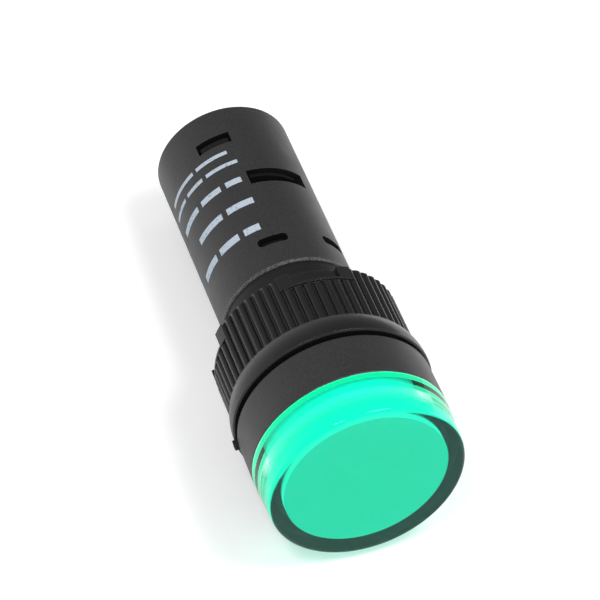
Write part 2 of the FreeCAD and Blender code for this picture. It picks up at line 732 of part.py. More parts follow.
def make_terminal_block():
    """Insert that closes the tube, with two screw pockets and a wall between them."""
    body = new_body("terminal_block")
    turned(body, "plug", box_corners(block_at, block_end, ZERO, inner_radius))

    def draw_barrier(sketch):
        half = inner_radius - size["barrier_inset"]
        draw_outline(sketch, box_corners(-pocket_inner, pocket_inner, -half, half))

    extruded(body, "barrier", draw_barrier, block_end - size["fit"], size["block_sink"] + size["fit"])

    def draw_pocket(sketch):
        draw_outline(sketch, rounded_box(pocket_inner, pocket_outer, -pocket_half, pocket_half,
                                         size["pocket_round"]))

    pocket = extruded(body, "pocket", draw_pocket, pocket_floor, size["pocket_depth"], cut=True)
    repeated(body, "pockets", [pocket], PAIR, cut=True)

    def draw_tail_hole(sketch):
        draw_circle(sketch, size["screw_radius"] + size["tail_hole_play"], screw_across)

    tail = extruded(body, "tail_hole", draw_tail_hole, pocket_floor - size["tail_hole_depth"],
                    size["tail_hole_depth"], cut=True)
    repeated(body, "tail_holes", [tail], PAIR, cut=True)

    def draw_leg_slot(sketch):
        half = size["leg_width"] / 2 + size["fit"]
        draw_outline(sketch, box_corners(leg_inner - size["fit"], leg_outer + size["fit"], -half, half))

    leg = extruded(body, "leg_slot", draw_leg_slot, block_at, pocket_floor - block_at, cut=True)
    repeated(body, "leg_slots", [leg], PAIR, cut=True)

    def draw_board_slot(sketch):
        half = board_half + size["fit"]
        up = board_top + size["fit"]
        draw_outline(sketch, box_corners(-half, half, -up, up))

    extruded(body, "board_slot", draw_board_slot, block_at, size["board_grip"] + size["fit"], cut=True)
    large_window_end = large_window_at + size["large_window_length"]
    hook_sector(body, "large_hook", large_window_end - size["fit"] - size["large_hook_length"],
                size["large_hook_length"], size["large_hook_reach"], size["large_window_span"],
                size["clocking"])
    hook_sector(body, "tail_hook", tail_window_at + size["fit"], size["tail_hook_length"],
                size["tail_hook_reach"], size["tail_window_span"], tail_window_angle)


def place_on_side(body, side):
    """Turn a part that was drawn on the right-hand side to the side given, 1 or -1."""
    body.Placement = FreeCAD.Placement(Vector(0, 0, 0), FreeCAD.Rotation(LENGTHWISE, 90 - 90 * side))


def make_terminal_strip(label, side):
    """Plate on the pocket's floor with a tapped hole and a leg that reaches the board."""
    half = pocket_half - size["strip_end_gap"]
    leg_half = size["leg_width"] / 2

    def draw_plate(sketch):
        draw_outline(sketch, box_corners(pocket_inner + size["strip_play"], leg_outer, -half, half))
        draw_circle(sketch, size["screw_radius"] + size["screw_play"], screw_across)

    def draw_leg(sketch):
        draw_outline(sketch, box_corners(leg_inner, leg_outer, -leg_half, leg_half))

    body = new_body(label)
    extruded(body, "plate", draw_plate, pocket_floor, size["strip_thickness"])
    leg_start = block_at - size["leg_reach"]
    extruded(body, "leg", draw_leg, leg_start, strip_face - leg_start)
    place_on_side(body, side)


def make_clamp_washer(label, side):
    """Square washer under the screw's head."""
    def draw(sketch):
        draw_outline(sketch, box_corners(screw_across - washer_half, screw_across + washer_half,
                                         -washer_half, washer_half))
        draw_circle(sketch, size["screw_radius"] + size["washer_play"], screw_across)

    body = new_body(label)
    extruded(body, "plate", draw, strip_face, size["washer_thickness"])
    place_on_side(body, side)


def make_terminal_screw(label, side):
    """Pan head screw with a cross recess, drawn on its own axis."""
    tip = -size["screw_length"]
    radius = size["screw_radius"]
    body = new_body(label)
    turned(body, "screw", [
        (tip, ZERO),
        (size["screw_head_height"], ZERO),
        (size["screw_head_height"], screw_head_radius),
        (ZERO, screw_head_radius),
        (ZERO, radius),
        (tip + size["screw_tip"], radius),
        (tip, radius - size["screw_tip"]),
    ])
    rounded(body, "head_edge", size["screw_head_round"],
            ring_edge(screw_head_radius, size["screw_head_height"]))

    def draw_slot(sketch):
        half_width = size["driver_slot_width"] / 2
        half_length = screw_head_radius - size["driver_slot_inset"]
        draw_outline(sketch, box_corners(-half_length, half_length, -half_width, half_width))

    slot = extruded(body, "driver_slot", draw_slot,
                    size["screw_head_height"] - size["driver_slot_depth"], size["driver_slot_depth"],
                    cut=True)
    repeated(body, "driver_cross", [slot], CROSS, cut=True)
    bind(body, "Placement.Base.x", screw_across * side)
    bind(body, "Placement.Base.y", washer_face)


def make_dropper_board():
    """Long board along the axis, held by the terminal block and the two strips."""
    def draw(sketch):
        draw_outline(sketch, box_corners(-board_half, board_half, -board_top, board_top))

    body = new_body("dropper_board")
    extruded(body, "board", draw, size["board_at"], board_end - size["board_at"])


def make_link_pins():
    """Two square pins that join the dropper board to the LED board, as one group."""
    group = doc.addObject("Part::Compound", "link_pins")
    pins = []
    start = led_board_front - size["pin_proud"]
    for side, name in ((-1, "left_pin"), (1, "right_pin")):
        pin = doc.addObject("Part::Box", name)
        bind(pin, "Length", size["pin_side"])
        bind(pin, "Width", pins_end - start)
        bind(pin, "Height", size["pin_side"])
        bind(pin, "Placement.Base.x", size["pin_pitch"] / 2 * side - size["pin_side"] / 2)
        bind(pin, "Placement.Base.y", start)
        bind(pin, "Placement.Base.z", board_top)
        pins.append(pin)
    group.Links = pins
    group.Label = "link_pins"
    nodes["link_pins"] = group


def make_film_capacitor():
    """Boxed film capacitor that lies on the board, as high as the spigot's bore allows."""
    half = size["film_width"] / 2
    top = other_side(spigot_bore - size["fit"], half)

    def draw(sketch):
        draw_outline(sketch, box_corners(-half, half, board_top, top))

    def upper(edge):
        return edge.CenterOfMass.z > top.number - NEAR

    body = new_body("film_capacitor")
    extruded(body, "case", draw, film_at, size["film_length"])
    rounded(body, "case_edges", size["film_round"], upper)


def make_smoothing_capacitor():
    """Small can that lies on the board, with a crimp behind its front end."""
    radius = size["can_radius"]
    edge = size["can_edge"]
    end = size["can_length"]
    crimp = size["can_crimp_at"]
    crimp_half = size["can_crimp_half"]
    body = new_body("smoothing_capacitor")
    turned(body, "can", [
        (ZERO, ZERO),
        (end, ZERO),
        (end, radius - edge),
        (end - edge, radius),
        (crimp + crimp_half, radius),
        (crimp, radius - edge),
        (crimp - crimp_half, radius),
        (edge, radius),
        (ZERO, radius - edge),
    ])
    bind(body, "Placement.Base.y", can_at)
    bind(body, "Placement.Base.z", board_top + radius)


def axial_part(radius, length):
    """Body between two leads that turn down to the board, along X with its leads' feet at z = 0."""
    lead = size["lead_radius"].number
    reach = length / 2 + size["lead_reach"].number
    drum = Part.makeCylinder(radius, length, Vector(-length / 2, 0, radius), Vector(1, 0, 0))
    wire = Part.makeCylinder(lead, 2 * reach, Vector(-reach, 0, radius), Vector(1, 0, 0))
    shape = drum.fuse(wire)
    for end in (-reach, reach):
        leg = Part.makeCylinder(lead, radius, Vector(end, 0, 0), Vector(0, 0, 1))
        elbow = Part.makeSphere(lead, Vector(end, 0, radius))
        shape = shape.fuse([leg, elbow])
    return shape.removeSplitter()


def make_resistor(label, at):
    """Axial resistor across the upper side of the board."""
    part = doc.addObject("Part::Feature", label)
    part.Shape = axial_part(size["resistor_radius"].number, size["resistor_length"].number)
    part.Placement = FreeCAD.Placement(Vector(0, at.number, board_top.number), FreeCAD.Rotation())
    part.Label = label
    nodes[label] = part


def make_rectifier_diodes():
    """Four diodes side by side under the board, as one group."""
    lying = FreeCAD.Rotation(Vector(0, 0, 1), 90)
    upside_down = FreeCAD.Rotation(LENGTHWISE, 180)
    middle = (size["board_at"] + block_at).number / 2
    count = int(size["diode_count"].number)
    diodes = []
    for index in range(count):
        diode = axial_part(size["diode_radius"].number, size["diode_length"].number)
        across = (index - (count - 1) / 2) * size["diode_pitch"].number
        place = Vector(across, middle, -board_top.number)
        diode.Placement = FreeCAD.Placement(place, upside_down.multiply(lying))
        diodes.append(diode)
    part = doc.addObject("Part::Feature", "rectifier_diodes")
    part.Shape = Part.makeCompound(diodes)
    part.Label = "rectifier_diodes"
    nodes["rectifier_diodes"] = part


def check_model():
    """Stop unless every object and every node's shape is sound."""
    doc.recompute()
    for item in doc.Objects:
        if "Invalid" in item.State or "Error" in item.State:
            raise RuntimeError("%s is in state %s" % (item.Label, item.State))
    for label, item in nodes.items():
        if item.Shape.isNull() or not item.Shape.isValid():
            raise RuntimeError("%s has no sound shape" % label)


def write_parts():
    os.makedirs("parts", exist_ok=True)
    for label, item in nodes.items():
        item.Shape.exportStep("parts/%s.step" % label)
        print("%-22s %9.1f mm3  %d solids" % (label, item.Shape.Volume, len(item.Shape.Solids)))


make_lens()
make_diffuser()
make_led_board()
make_leds()
make_front_housing()
make_gasket()
make_nut()
make_rear_shell()
make_terminal_block()
for number, side in ((1, 1), (2, -1)):
    make_terminal_strip("terminal_strip_%d" % number, side)
    make_clamp_washer("clamp_washer_%d" % number, side)
    make_terminal_screw("terminal_screw_%d" % number, side)
make_dropper_board()
make_link_pins()
make_film_capacitor()
make_smoothing_capacitor()
make_resistor("surge_resistor", surge_resistor_at)
make_resistor("bleed_resistor", bleed_resistor_at)
make_rectifier_diodes()
check_model()
write_parts()
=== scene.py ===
# %% [markdown]
# # A panel pilot light on a white table
# The lamp is a small indicator for a 22 mm hole in a control panel: a green lens, a black bezel, a ring
# nut on a threaded barrel, and a plain tube with the wiring terminals at its far end. Its pieces come
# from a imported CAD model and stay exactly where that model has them. This script dresses them. It gives
# each piece its finish, adds what is too fine for the model, which is the threads, the soft edges of the
# rubber ring and rows of white bars, and sets up a table, light and a camera.

import math

import bpy
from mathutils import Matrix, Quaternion, Vector


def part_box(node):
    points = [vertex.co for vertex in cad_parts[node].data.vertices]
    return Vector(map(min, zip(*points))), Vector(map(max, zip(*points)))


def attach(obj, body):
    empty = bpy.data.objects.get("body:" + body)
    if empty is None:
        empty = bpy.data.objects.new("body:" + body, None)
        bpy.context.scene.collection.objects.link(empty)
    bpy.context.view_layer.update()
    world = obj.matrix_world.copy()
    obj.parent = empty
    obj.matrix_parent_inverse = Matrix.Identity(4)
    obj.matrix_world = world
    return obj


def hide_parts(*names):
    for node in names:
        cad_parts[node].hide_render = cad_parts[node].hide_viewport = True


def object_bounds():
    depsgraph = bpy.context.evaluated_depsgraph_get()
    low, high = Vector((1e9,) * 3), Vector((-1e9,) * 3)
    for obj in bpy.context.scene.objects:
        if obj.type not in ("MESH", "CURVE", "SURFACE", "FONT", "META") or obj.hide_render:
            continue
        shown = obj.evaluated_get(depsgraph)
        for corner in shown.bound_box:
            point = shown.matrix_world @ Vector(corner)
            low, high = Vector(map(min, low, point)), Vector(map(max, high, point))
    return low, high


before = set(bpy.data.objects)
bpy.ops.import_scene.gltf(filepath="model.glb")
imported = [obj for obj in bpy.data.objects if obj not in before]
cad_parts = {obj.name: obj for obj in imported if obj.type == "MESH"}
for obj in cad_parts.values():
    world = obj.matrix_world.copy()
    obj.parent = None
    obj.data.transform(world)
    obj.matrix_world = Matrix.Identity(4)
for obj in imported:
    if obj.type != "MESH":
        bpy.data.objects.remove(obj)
cad_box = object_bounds()
print("pieces:", len(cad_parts), " size in mm:", [round(1000 * s, 2) for s in cad_box[1] - cad_box[0]])

# %% [markdown]
# ## Small helpers
# Colours are written as sRGB hex values, as a paint chart has them, and the shaders want them linear.
# Every material starts as one Principled surface, and one helper adds a node, sets it and links its inputs.
# Lengths are written in millimetres where they are real sizes, because that is how the lamp is drawn.

# %% Colour, node and material helpers
MM = 0.001


def linear(hex_colour):
    """Turn an sRGB hex colour into linear red, green, blue and alpha."""
    channels = [int(hex_colour[start:start + 2], 16) / 255 for start in (1, 3, 5)]
    return [c / 12.92 if c <= 0.04045 else ((c + 0.055) / 1.055) ** 2.4 for c in channels] + [1.0]


def add_node(tree, kind, inputs=None, **settings):
    """Add a node, set its properties, and fill or link its inputs."""
    node = tree.nodes.new(kind)
    for name, value in settings.items():
        setattr(node, name, value)
    for name, value in (inputs or {}).items():
        if isinstance(value, bpy.types.NodeSocket):
            tree.links.new(value, node.inputs[name])
        else:
            node.inputs[name].default_value = value
    return node


def ramp(tree, value, from_min, from_max, to_min=0.0, to_max=1.0):
    """Stretch a value from one range to another, and hold it at the ends."""
    ranges = {"From Min": from_min, "From Max": from_max, "To Min": to_min, "To Max": to_max}
    return add_node(tree, "ShaderNodeMapRange", {"Value": value, **ranges}).outputs[0]


def noise(tree, place, size_mm, detail):
    """Cloudy noise with lumps of about the size given."""
    lumps = {"Vector": place, "Scale": 1 / (size_mm * MM), "Detail": detail}
    return add_node(tree, "ShaderNodeTexNoise", lumps).outputs["Fac"]


def straight_view(tree):
    """One for rays from the camera and for those that come through the lens, zero for all others."""
    path = add_node(tree, "ShaderNodeLightPath")
    either = add_node(tree, "ShaderNodeMath", {0: path.outputs["Is Camera Ray"],
                                               1: path.outputs["Is Transmission Ray"]}, operation="MAXIMUM")
    return either.outputs[0]


def new_material(name, colour, roughness, **sockets):
    """Start a material from one Principled surface and return it with its tree and surface."""
    material = bpy.data.materials.new(name)
    material.use_nodes = True
    tree = material.node_tree
    surface = tree.nodes["Principled BSDF"]
    surface.inputs["Base Color"].default_value = linear(colour)
    surface.inputs["Roughness"].default_value = roughness
    for socket, value in sockets.items():
        surface.inputs[socket.replace("_", " ")].default_value = value
    return material, tree, surface


# %% Helpers that dress the model and add to it
def dress(material, *nodes):
    """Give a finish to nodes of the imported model."""
    for node in nodes:
        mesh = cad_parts[node].data
        mesh.materials.clear()
        mesh.materials.append(material)
    print(material.name, "on", ", ".join(nodes))


def dress_faces(node, material, chosen):
    """Give a second finish to the faces of a node that the chooser accepts.

    The chooser gets a face's place along the lamp and its radius in millimetres, and how far its
    direction points back and outwards, each from -1 to 1.
    """
    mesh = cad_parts[node].data
    mesh.materials.append(material)
    index = len(mesh.materials) - 1
    count = 0
    for face in mesh.polygons:
        centre, normal = face.center, face.normal
        radius = max(math.hypot(centre.x, centre.z), 1e-9)
        outward = (centre.x * normal.x + centre.z * normal.z) / radius
        if chosen(centre.y / MM, radius / MM, normal.y, outward):
            face.material_index = index
            count += 1
    print(material.name, "on", count, "faces of", node)


def round_axis(radius, y, angle):
    """Point at a radius and a place along the lamp in millimetres, turned from the top by an angle."""
    return radius * math.sin(angle) * MM, y * MM, radius * math.cos(angle) * MM


def new_piece(name, points, faces, material):
    """Smooth-shaded mesh of its own, made from points and faces."""
    mesh = bpy.data.meshes.new(name)
    mesh.from_pydata(points, [], faces)
    mesh.validate()
    mesh.materials.append(material)
    mesh.shade_smooth()
    piece = bpy.data.objects.new(name, mesh)
    bpy.context.scene.collection.objects.link(piece)
    return piece


# %% [markdown]
# ## The camera
# The photograph was taken from a good way off with a long lens, from above and a little to the left.
# The camera's place and angles were worked out from the ellipses that the lamp's round edges make in it.
# A long lens keeps those ellipses nearly alike from front to back, so the focal length matters as much as
# the place.

# %% Camera at the photograph's viewing angle
CAMERA_PLACE = Vector((-93.6, -303.1, 353.5)) * MM
CAMERA_HEADING = 16.37  # degrees, like the dip and the roll
CAMERA_DIP = 46.22
CAMERA_ROLL = -2.19
FOCAL_LENGTH = 201.35
NEAREST_IN_VIEW = 10 * MM

heading, dip = math.radians(CAMERA_HEADING), math.radians(CAMERA_DIP)
look = Vector((math.sin(heading) * math.cos(dip), math.cos(heading) * math.cos(dip), -math.sin(dip)))
camera = bpy.data.objects.new("camera", bpy.data.cameras.new("camera"))
camera.data.lens = FOCAL_LENGTH
camera.data.clip_start = NEAREST_IN_VIEW
camera.location = CAMERA_PLACE
camera.rotation_mode = "QUATERNION"
roll = Quaternion((0, 0, 1), math.radians(CAMERA_ROLL))
camera.rotation_quaternion = look.to_track_quat("-Z", "Y") @ roll
bpy.context.scene.collection.objects.link(camera)
bpy.context.scene.camera = camera
print("camera is", round(CAMERA_PLACE.length * 1000), "mm from the panel seat")

# %% [markdown]
# ## The table
# The lamp lies on its nut and on the far end of its tube. The nut is the wider, so the table leans by
# about five degrees against the lamp's own axis, and the lean is worked out from the two pieces that
# touch it. The table is a plain white disc. To the camera, and to rays that come through the lens, it
# glows a little as well: that takes the open table to pure white, keeps the shadow close to the lamp, and
# lights nothing.

# %% White table that touches the nut and the tube's end
TABLE_RADIUS = 120 * MM
TABLE_CORNERS = 128
CAMERA_LIFT = 0.20
NUT_EDGE = 0.3 * MM  # from the nut's front to where it is widest
TUBE_END_ROUND = 0.6 * MM  # rounding of the tube's far end

nut_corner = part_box("mounting_nut")[0]
tube_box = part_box("rear_shell")
touch_front = Vector((0, nut_corner.y + NUT_EDGE, nut_corner.z))
touch_back = Vector((0, tube_box[1].y - TUBE_END_ROUND, tube_box[0].z))
lean = math.atan2(touch_back.z - touch_front.z, touch_back.y - touch_front.y)
print("the table leans", round(math.degrees(lean), 2), "degrees")

bpy.ops.mesh.primitive_circle_add(vertices=TABLE_CORNERS, radius=TABLE_RADIUS, fill_type="NGON",
                                  location=(touch_front + touch_back) / 2, rotation=(lean, 0, 0))
table = bpy.context.object
table.name = "table"

table_paint, tree, surface = new_material("white_laminate_table", "#f4f4f5", 0.6, Specular_IOR_Level=0.2)
lift = add_node(tree, "ShaderNodeMath", {0: straight_view(tree), 1: CAMERA_LIFT}, operation="MULTIPLY")
glow = add_node(tree, "ShaderNodeEmission", {"Color": linear("#ffffff"), "Strength": lift.outputs[0]})
lifted = add_node(tree, "ShaderNodeAddShader", {0: surface.outputs[0], 1: glow.outputs[0]})
tree.links.new(lifted.outputs[0], tree.nodes["Material Output"].inputs["Surface"])
table.data.materials.append(table_paint)

# %% [markdown]
# ## Soft light
# The lamp stands in a white studio: pale all round near the table and darker overhead, so that the black
# tube stays black on top and turns pale grey along its sides, where it mirrors the white table at a
# shallow angle. One corner behind on the right is darker, as if a curtain hung there, and keeps that side
# of the tube dark. The camera sees plain white wherever it looks past the table.

# %% World that is pale at the horizon and darker overhead
HORIZON_LIGHT = 1.0
OVERHEAD_LIGHT = 0.45
DIMS_FROM, DIMS_TO = 0.05, 0.75  # height of a direction, 0 at the horizon and 1 straight up
DARK_CORNER = (0.72, 0.66, 0.2)
CORNER_LIGHT = 0.4
CORNER_FROM, CORNER_TO = 0.6, 0.95  # how nearly a direction points to that corner, at most 1

world = bpy.data.worlds.new("white_studio")
bpy.context.scene.world = world
world.use_nodes = True
tree = world.node_tree
tree.nodes.clear()
direction = add_node(tree, "ShaderNodeTexCoord").outputs["Generated"]
height = add_node(tree, "ShaderNodeSeparateXYZ", {0: direction}).outputs["Z"]
sky = ramp(tree, height, DIMS_FROM, DIMS_TO, HORIZON_LIGHT, OVERHEAD_LIGHT)
to_corner = add_node(tree, "ShaderNodeVectorMath", {0: direction, 1: DARK_CORNER}, operation="DOT_PRODUCT")
curtain = ramp(tree, to_corner.outputs["Value"], CORNER_FROM, CORNER_TO, 1.0, CORNER_LIGHT)
level = add_node(tree, "ShaderNodeMath", {0: sky, 1: curtain}, operation="MULTIPLY")
around = add_node(tree, "ShaderNodeBackground", {"Color": linear("#ffffff"), "Strength": level.outputs[0]})
plain = add_node(tree, "ShaderNodeBackground", {"Color": linear("#ffffff"), "Strength": 1.0})
choice = add_node(tree, "ShaderNodeMixShader", {0: straight_view(tree), 1: around.outputs[0],
                                                2: plain.outputs[0]})
add_node(tree, "ShaderNodeOutputWorld", {"Surface": choice.outputs[0]})
bpy.context.scene.view_settings.view_transform = "Standard"
print("world light from", OVERHEAD_LIGHT, "overhead to", HORIZON_LIGHT, "at the horizon")

# %% [markdown]
# ## Soft boxes
# Two small soft boxes high in front leave short bright streaks on the lens's front edge, and two low ones
# at the sides catch the nut. A faint green lamp just in front of the lens stands for the light that the
# lit lens throws on the table.

# %% Soft boxes and the lens's own light
LENS_LIGHT_GAP = 0.5 * MM
LENS_LIGHT_SIDE = 18 * MM
LENS_LIGHT_WATTS = 0.0003
AHEAD = Vector((0, -10, 0)) * MM


def soft_lamp(name, place, aim, side, watts, colour="#ffffff"):
    """Square soft box that faces a point and isn't seen itself."""
    light = bpy.data.lights.new(name, "AREA")
    light.size = side
    light.energy = watts
    light.color = linear(colour)[:3]
    lamp = bpy.data.objects.new(name, light)
    lamp.location = place
    lamp.rotation_mode = "QUATERNION"
    lamp.rotation_quaternion = (aim - place).to_track_quat("-Z", "Y")
    lamp.visible_camera = False
    bpy.context.scene.collection.objects.link(lamp)
    print(name, "stands", round((aim - place).length * 1000), "mm away")


middle = (cad_box[0] + cad_box[1]) / 2
lens_front = Vector((0, cad_box[0].y, 0))
SOFT_BOXES = [  # name, what it faces, its place from there and its side in millimetres, and its watts
    ("right_soft_box", lens_front, (246, -156, 516), 200, 1.9),
    ("left_soft_box", lens_front, (-180, -186, 534), 130, 1.3),
    ("low_right_soft_box", middle, (550, 30, 0), 240, 0.9),
    ("low_left_soft_box", middle, (-550, -50, 100), 200, 0.2),
]
for name, faced, place, side, watts in SOFT_BOXES:
    soft_lamp(name, faced + Vector(place) * MM, faced, side * MM, watts)
glow_from = lens_front + Vector((0, -LENS_LIGHT_GAP, 0))
soft_lamp("green_light_of_the_lens", glow_from, glow_from + AHEAD, LENS_LIGHT_SIDE, LENS_LIGHT_WATTS,
          colour="#20ffb0")

# %% [markdown]
# ## Moulded black plastic
# The bezel, the barrel and the tube are moulded in black ABS with a fine spark-eroded grain. The ring nut
# is nylon from a smoother mould, and the terminal block is pressed from phenolic resin.
#
# The grain is what keeps the plastic from looking wet: it spreads the reflection and leaves tiny light
# and dark specks. It is made as a noise of the grain's real size that dents the surface by some
# thousandths of a millimetre, or nearly two hundredths on the ABS. A second, much larger noise changes
# the gloss a little, as handling does.
#
# No moulded edge is quite sharp, so the shader rounds every edge by a tenth of a millimetre or so. Where
# it does, the plastic is also a little paler, because edges are what gets rubbed.
#
# Pale dust gathers where parts meet, so a finish may carry specks in one band along the lamp and fewer
# all over. Dust clings best where the surface is rough, so the roughness also sets how much of it stays.

# %% Grained plastic
NO_BAND = (900.0, 901.0)  # a place that no piece reaches
DUST = "#8e8f8d"
MOTE_SIZE = 0.16
MOTES_FROM, MOTES_TO = 0.42, 0.66
PATCH_SIZE = 6.0
PATCHES_FROM, PATCHES_TO = 0.3, 0.7
GLOSS_CHANGE = 0.05
WEAR_FROM, WEAR_TO = 0.99, 0.80  # how nearly the rounded direction is the flat one, at most 1
WEAR_AT_MOST = 1.2


def grained_plastic(name, colour, roughness, grain_mm, depth_mm, edge_mm=0.08, worn="#3c3d3d", dusty=NO_BAND,
                    dust_all_over=0.0, **sockets):
    """Moulded plastic with a fine grain, uneven gloss, soft paler edges and dust."""
    material, tree, surface = new_material(name, colour, roughness, **sockets)
    place = add_node(tree, "ShaderNodeTexCoord").outputs["Object"]
    edges = add_node(tree, "ShaderNodeBevel", {"Radius": edge_mm * MM}, samples=4)
    bump = add_node(tree, "ShaderNodeBump", {"Strength": 1.0, "Distance": depth_mm * MM,
                                             "Height": noise(tree, place, grain_mm, 2.0),
                                             "Normal": edges.outputs[0]})
    patches = noise(tree, place, PATCH_SIZE, 3.0)
    gloss = ramp(tree, patches, PATCHES_FROM, PATCHES_TO, roughness - GLOSS_CHANGE, roughness + GLOSS_CHANGE)

    flat = add_node(tree, "ShaderNodeNewGeometry").outputs["Normal"]
    alike = add_node(tree, "ShaderNodeVectorMath", {0: edges.outputs[0], 1: flat}, operation="DOT_PRODUCT")
    rubbed = ramp(tree, alike.outputs["Value"], WEAR_FROM, WEAR_TO, 0.0, WEAR_AT_MOST)
    wear = add_node(tree, "ShaderNodeMath", {0: rubbed, 1: patches}, operation="MULTIPLY")
    paler = add_node(tree, "ShaderNodeMix", {0: wear.outputs[0], 6: linear(colour), 7: linear(worn)},
                     data_type="RGBA")

    specks = ramp(tree, noise(tree, place, MOTE_SIZE, 1.0), MOTES_FROM, MOTES_TO)
    along = add_node(tree, "ShaderNodeSeparateXYZ", {0: place}).outputs["Y"]
    band = add_node(tree, "ShaderNodeMath", {0: along, 1: sum(dusty) / 2 * MM,
                                             2: (dusty[1] - dusty[0]) / 2 * MM}, operation="COMPARE")
    where = add_node(tree, "ShaderNodeMath", {0: band.outputs[0], 1: dust_all_over}, operation="MAXIMUM")
    clinging = add_node(tree, "ShaderNodeMath", {0: specks, 1: gloss}, operation="MULTIPLY")
    dust = add_node(tree, "ShaderNodeMath", {0: clinging.outputs[0], 1: where.outputs[0]},
                    operation="MULTIPLY")
    dusted = add_node(tree, "ShaderNodeMix", {0: dust.outputs[0], 6: paler.outputs[2], 7: linear(DUST)},
                      data_type="RGBA")
    tree.links.new(dusted.outputs[2], surface.inputs["Base Color"])
    tree.links.new(bump.outputs["Normal"], surface.inputs["Normal"])
    tree.links.new(gloss, surface.inputs["Roughness"])
    return material


# %% Black finishes
tube_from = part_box("rear_shell")[0].y / MM
tube_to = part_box("rear_shell")[1].y / MM
tube_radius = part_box("rear_shell")[1].x / MM
abs_black = grained_plastic("black_abs_spark_grained", "#1e1e20", 0.42, 0.30, 0.018, worn="#6a6b6b",
                            dusty=(tube_from - 0.1, tube_from + 0.45), dust_all_over=0.12,
                            Specular_IOR_Level=0.45)
# The barrel's black is darker as painted shade from the nut and the tube around it.
barrel_black_with_painted_shade = grained_plastic("black_abs_turned_core_painted_shade", "#131314", 0.38, 0.25, 0.004, worn="#2a2a2a",
                             Specular_IOR_Level=0.25)
# This darker, duller black is painted shade for faces inside the tube.
inside_painted_shade_black = grained_plastic("black_abs_inside_painted_shade", "#0b0b0b", 0.6, 0.20, 0.004, worn="#161616",
                               Specular_IOR_Level=0.2)
nylon_black = grained_plastic("black_nylon_smooth_moulded", "#131413", 0.26, 0.30, 0.003, edge_mm=0.1,
                              worn="#5c5e5b", Specular_IOR_Level=0.34)
insert_black = grained_plastic("black_phenolic_pressed", "#111111", 0.5, 0.20, 0.005, Specular_IOR_Level=0.3)
rubber_black = grained_plastic("black_nitrile_rubber", "#121110", 0.72, 0.12, 0.008, Specular_IOR_Level=0.3)
print("the tube runs from", round(tube_from, 1), "to", round(tube_to, 1), "mm behind the panel's front")

# %% [markdown]
# The barrel is smoother than the bezel and the tube, because the part of the mould that shapes its thread is
# turned, and its black is darker as painted shade from the nut and the tube around it. Faces that lie inside
# the tube get a darker, duller black, which is painted shade. They are found by their place: behind the
# joint of barrel and tube, or deeper than the tube's outside.

# %% Dress the black pieces
JOINT_SLACK = 0.1  # millimetres, like the rest
BEZEL_FOOT = 0.5  # from the panel to where the barrel is clear of the bezel
SKIN = 0.05  # faces deeper than this are inside
END_WALL = 1  # from each end of the tube, where its faces still show
BLOCK_IN_VIEW = 3  # depth to which the terminal block shows from behind

dress(abs_black, "front_housing", "rear_shell")
# The barrel gets painted shade, and the faces inside the tube and deep in the terminal block get a darker
# painted shade.
dress_faces("front_housing", barrel_black_with_painted_shade,
            lambda y, radius, back, outward: BEZEL_FOOT < y <= tube_from + JOINT_SLACK)
dress_faces("rear_shell", inside_painted_shade_black,
            lambda y, radius, back, outward: radius < tube_radius - SKIN
            and tube_from + END_WALL < y < tube_to - END_WALL)
dress_faces("front_housing", inside_painted_shade_black, lambda y, radius, back, outward: y > tube_from + JOINT_SLACK)
dress(nylon_black, "mounting_nut")
dress(insert_black, "terminal_block")
dress_faces("terminal_block", inside_painted_shade_black, lambda y, radius, back, outward: y < tube_to - BLOCK_IN_VIEW)

# %% [markdown]
# ## The lens and the cup under it
# The lens is moulded in clear acrylic, tinted pale green, with a polished face and a thick wall. Seen
# from the side, it bends the light so that the green cup inside seems to fill it to the edge. Seen
# through its face, the light runs along the wall, bounces off its outer side and ends on the black bezel,
# so the face has a dark ring.
#
# Its faces need several finishes. The outside and the face are polished, and what they mirror is tinted a
# little too, so that the white table doesn't wash out the green. The back of the face and the first part of
# the bore are frosted and have a painted green glow, and the bore is clear behind that. The green cup under
# the lens has a painted glow as well.
#
# The foot is a mirror to light that grazes it and dark to light that meets it squarely, as any polished face
# over a thin layer of air. It also has a painted green glow, which makes the bright line where the lens
# meets the bezel. The bezel's front lies against the foot, so it gets the same finish and the same painted
# glow. The skirt is hidden in black plastic, and is dark green with a faint painted glow.

# %% Clear tinted acrylic, and milky green plastic with a painted glow
ACRYLIC_IOR = 1.49
FROSTED_TO = -10.6  # place along the lamp, in millimetres
FROST_FADES = 0.8
TOTAL_REFLECTION = 0.257  # one minus the cosine of the angle at which acrylic starts to mirror all light


def milky_green(name, colour, glow, strength):
    """Milky plastic that spreads light, with a painted green glow of its own."""
    return new_material(name, colour, 0.55, Emission_Color=linear(glow), Emission_Strength=strength,
                        Specular_IOR_Level=0.1)


def over(tree, factor, below, above):
    """Mix two surfaces and show the result."""
    mixed = add_node(tree, "ShaderNodeMixShader", {0: factor, 1: below, 2: above})
    tree.links.new(mixed.outputs[0], tree.nodes["Material Output"].inputs["Surface"])


acrylic = new_material("green_tinted_acrylic_polished", "#c8fdf2", 0.02, Transmission_Weight=1.0,
                       IOR=ACRYLIC_IOR, Specular_Tint=linear("#80e8d8"))[0]
# These milky greens each carry a painted glow.
milky = milky_green("milky_green_polystyrene_painted_glow", "#00c8a4", "#00f0cc", 0.6)[0]
window = milky_green("acrylic_window_frosted_painted_glow", "#00bc9a", "#00dab0", 0.38)[0]
skirt = milky_green("acrylic_skirt_dark_painted_glow", "#1c3a32", "#10a080", 0.04)[0]
